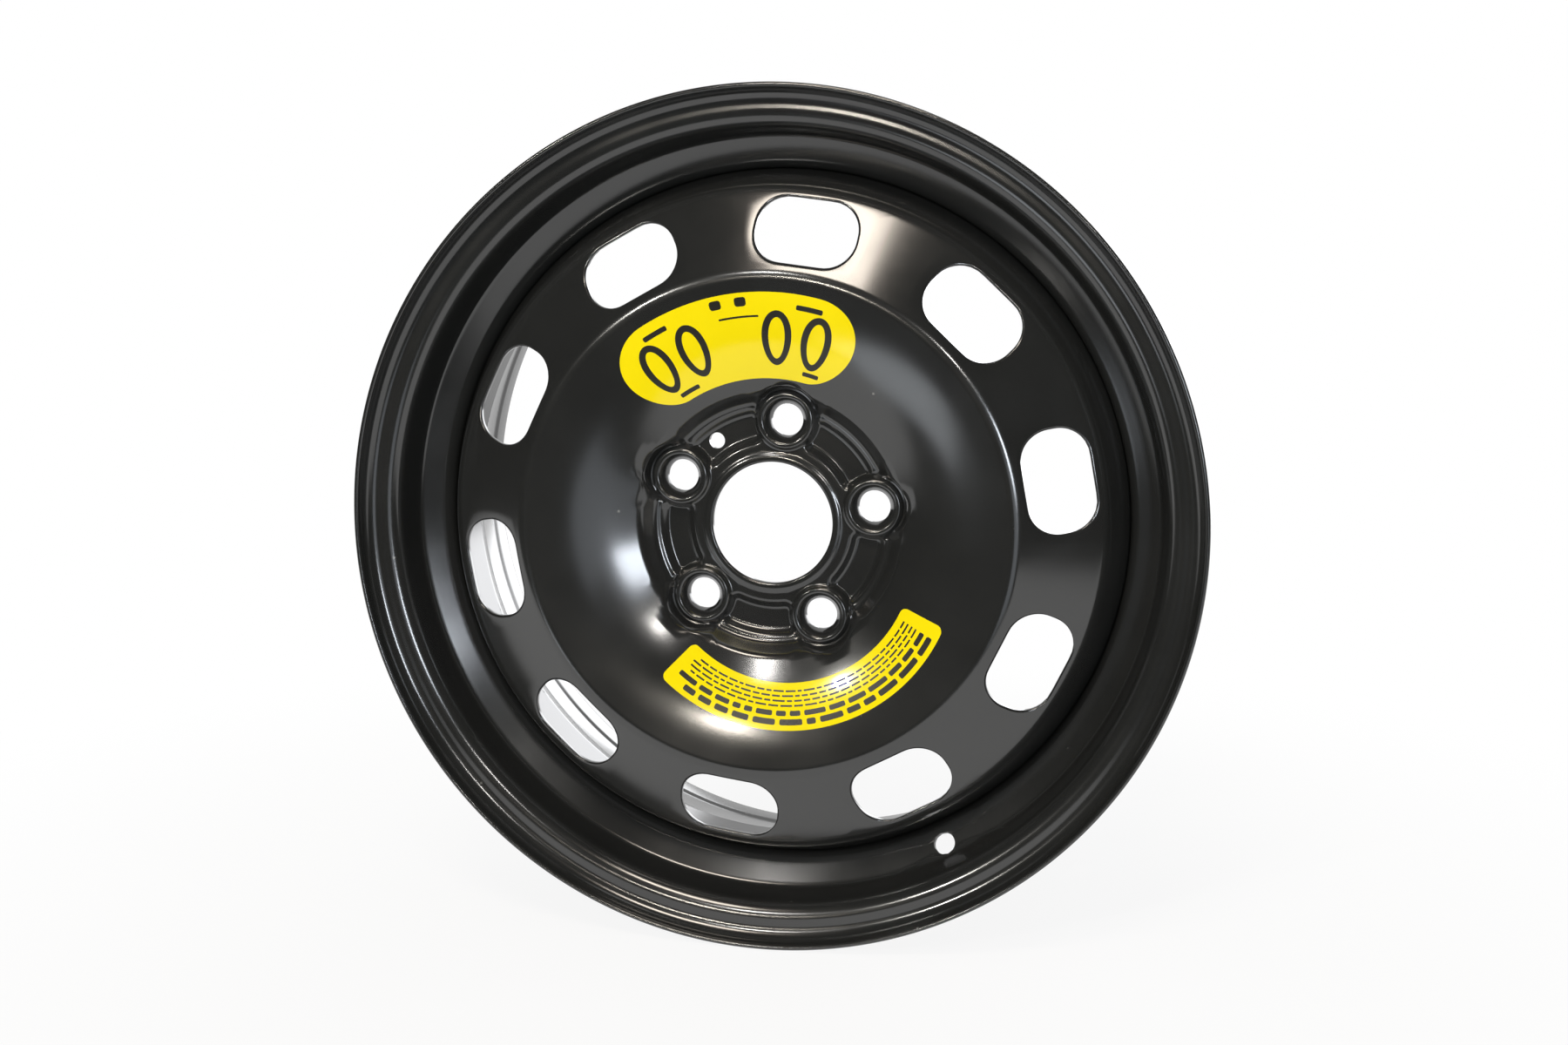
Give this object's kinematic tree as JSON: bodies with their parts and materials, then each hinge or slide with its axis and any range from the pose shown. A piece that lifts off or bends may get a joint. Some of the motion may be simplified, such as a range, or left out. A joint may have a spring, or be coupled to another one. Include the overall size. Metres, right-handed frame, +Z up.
{
  "type": "car wheel",
  "caption": "Pressed steel car wheel without a tyre: a rolled drop-centre rim with a vented, dished disc welded in, bolt seats with cone mouths round a hub bore, and two curved labels.",
  "frame": {"origin": "on the axle, at the centre of the bolt circle in the plane of the pads that seat on the hub", "axes": "+Y along the axle towards the car, the outer face looks along -Y, +Z up"},
  "size_m": [0.4402, 0.1796, 0.4401],
  "materials": {
    "black_paint": "semi-gloss",
    "label_film": "satin"
  },
  "bodies": {
    "root": {"rim": "black_paint", "disc": "black_paint", "disc_welds": "black_paint", "upper_label": "label_film", "lower_label": "label_film"}
  },
  "joints": []
}
